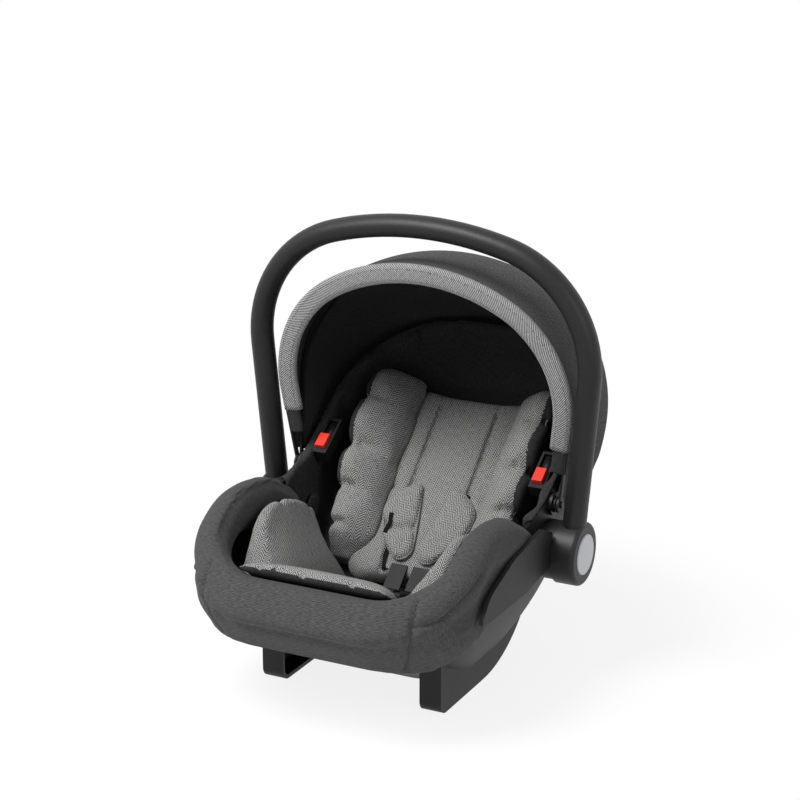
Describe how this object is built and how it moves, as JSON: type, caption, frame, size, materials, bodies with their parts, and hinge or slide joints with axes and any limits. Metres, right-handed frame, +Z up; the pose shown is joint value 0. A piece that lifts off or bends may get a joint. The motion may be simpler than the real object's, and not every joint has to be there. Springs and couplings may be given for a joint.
{
  "type": "infant car seat",
  "caption": "Rear-facing infant car seat carrier with rocker shell, turning carry handle, folding canopy, padded insert, harness and foot cover.",
  "frame": {"origin": "on the floor under the middle of the overall length and width", "axes": "+Z up, foot end towards -Y, +X to the right of a viewer who faces the foot end; the seat is symmetric about X = 0"},
  "size_m": [0.4712, 0.5768, 0.5492],
  "materials": {
    "shell_plastic": "fine moulded texture, near black",
    "handle_plastic": "satin charcoal",
    "button_plastic": "pale grey, plain face",
    "gear_plastic": "natural nylon",
    "steel": "zinc plated",
    "red_plastic": "bright red",
    "buckle_plastic": "black",
    "foam": "moulded foam under the liner",
    "liner_fabric": "black knit",
    "cover_fabric": "dark grey melange weave, padded",
    "insert_fabric": "grey herringbone weave, padded",
    "webbing": "black woven webbing",
    "canopy_fabric": "charcoal cloth",
    "band_fabric": "light grey twill",
    "bow_plastic": "black battens"
  },
  "bodies": {
    "carrier": {"carrier_shell": "shell_plastic", "rear_belt_guide": "shell_plastic", "foam_seat": "foam", "seat_liner": "liner_fabric", "foot_cover": "cover_fabric", "insert_back_pad": "insert_fabric", "insert_seat_pad": "insert_fabric", "crotch_strap": "webbing", "buckle_housing": "buckle_plastic", "canopy_rear_panel": "canopy_fabric", "belt_guide_left": "shell_plastic", "belt_guide_right": "shell_plastic", "hub_base_left": "shell_plastic", "hub_base_right": "shell_plastic", "pivot_pin_left": "steel", "pivot_pin_right": "steel", "gear_spring_left": "steel", "gear_spring_right": "steel", "canopy_clip_left": "handle_plastic", "canopy_clip_right": "handle_plastic", "trigger_housing_left": "shell_plastic", "trigger_housing_right": "shell_plastic", "trigger_spring_left": "steel", "trigger_spring_right": "steel", "insert_back_wing_left": "insert_fabric", "insert_back_wing_right": "insert_fabric", "insert_leg_wing_left": "insert_fabric", "insert_leg_wing_right": "insert_fabric", "shoulder_strap_left": "webbing", "shoulder_strap_right": "webbing", "shoulder_pad_left": "insert_fabric", "shoulder_pad_right": "insert_fabric", "buckle_tongue_left": "buckle_plastic", "buckle_tongue_right": "buckle_plastic"},
    "handle": {"handle_bar": "handle_plastic"},
    "canopy_front": {"canopy_front_bow": "bow_plastic", "canopy_edge_band": "band_fabric", "canopy_front_panel": "canopy_fabric"},
    "canopy_middle": {"canopy_mid_bow": "bow_plastic", "canopy_mid_panel": "canopy_fabric"},
    "buckle_release": {"buckle_button": "buckle_plastic"},
    "hub_button_left": {"handle_button_left": "button_plastic", "lock_gear_left": "gear_plastic"},
    "trigger_left": {"release_trigger_left": "red_plastic"},
    "hub_button_right": {"handle_button_right": "button_plastic", "lock_gear_right": "gear_plastic"},
    "trigger_right": {"release_trigger_right": "red_plastic"}
  },
  "joints": [
    {"name": "handle_turn", "type": "hinge", "parent": "carrier", "child": "handle", "pos_m": [0, 0.0217, 0.155], "axis": [1, 0, 0], "range_deg": [-110, 60]},
    {"name": "canopy_fold", "type": "hinge", "parent": "carrier", "child": "canopy_front", "pos_m": [0, 0.0337, 0.208], "axis": [1, 0, 0], "range_deg": [-40, 0]},
    {"name": "canopy_middle_fold", "type": "hinge", "parent": "carrier", "child": "canopy_middle", "pos_m": [0, 0.0337, 0.208], "axis": [1, 0, 0], "range_deg": [-28, 0]},
    {"name": "buckle_press", "type": "slide", "parent": "carrier", "child": "buckle_release", "axis": [0, -0.3584, -0.9336], "range_m": [0, 0.004], "stiffness_N_per_m": 600, "springref_m": -0.003},
    {"name": "hub_button_left_press", "type": "slide", "parent": "handle", "child": "hub_button_left", "axis": [1, 0, 0], "range_m": [0, 0.006], "stiffness_N_per_m": 700, "springref_m": -0.003, "deforming": ["gear_spring_left"]},
    {"name": "trigger_left_pull", "type": "slide", "parent": "carrier", "child": "trigger_left", "axis": [0, 0.829, 0.5592], "range_m": [0, 0.014], "stiffness_N_per_m": 450, "springref_m": -0.004, "deforming": ["trigger_spring_left"]},
    {"name": "hub_button_right_press", "type": "slide", "parent": "handle", "child": "hub_button_right", "axis": [-1, 0, 0], "range_m": [0, 0.006], "stiffness_N_per_m": 700, "springref_m": -0.003, "deforming": ["gear_spring_right"]},
    {"name": "trigger_right_pull", "type": "slide", "parent": "carrier", "child": "trigger_right", "axis": [0, 0.829, 0.5592], "range_m": [0, 0.014], "stiffness_N_per_m": 450, "springref_m": -0.004, "deforming": ["trigger_spring_right"]}
  ],
  "couplings": [
    {"joint": "canopy_middle_fold", "follows": "canopy_fold", "ratio": 0.7}
  ]
}
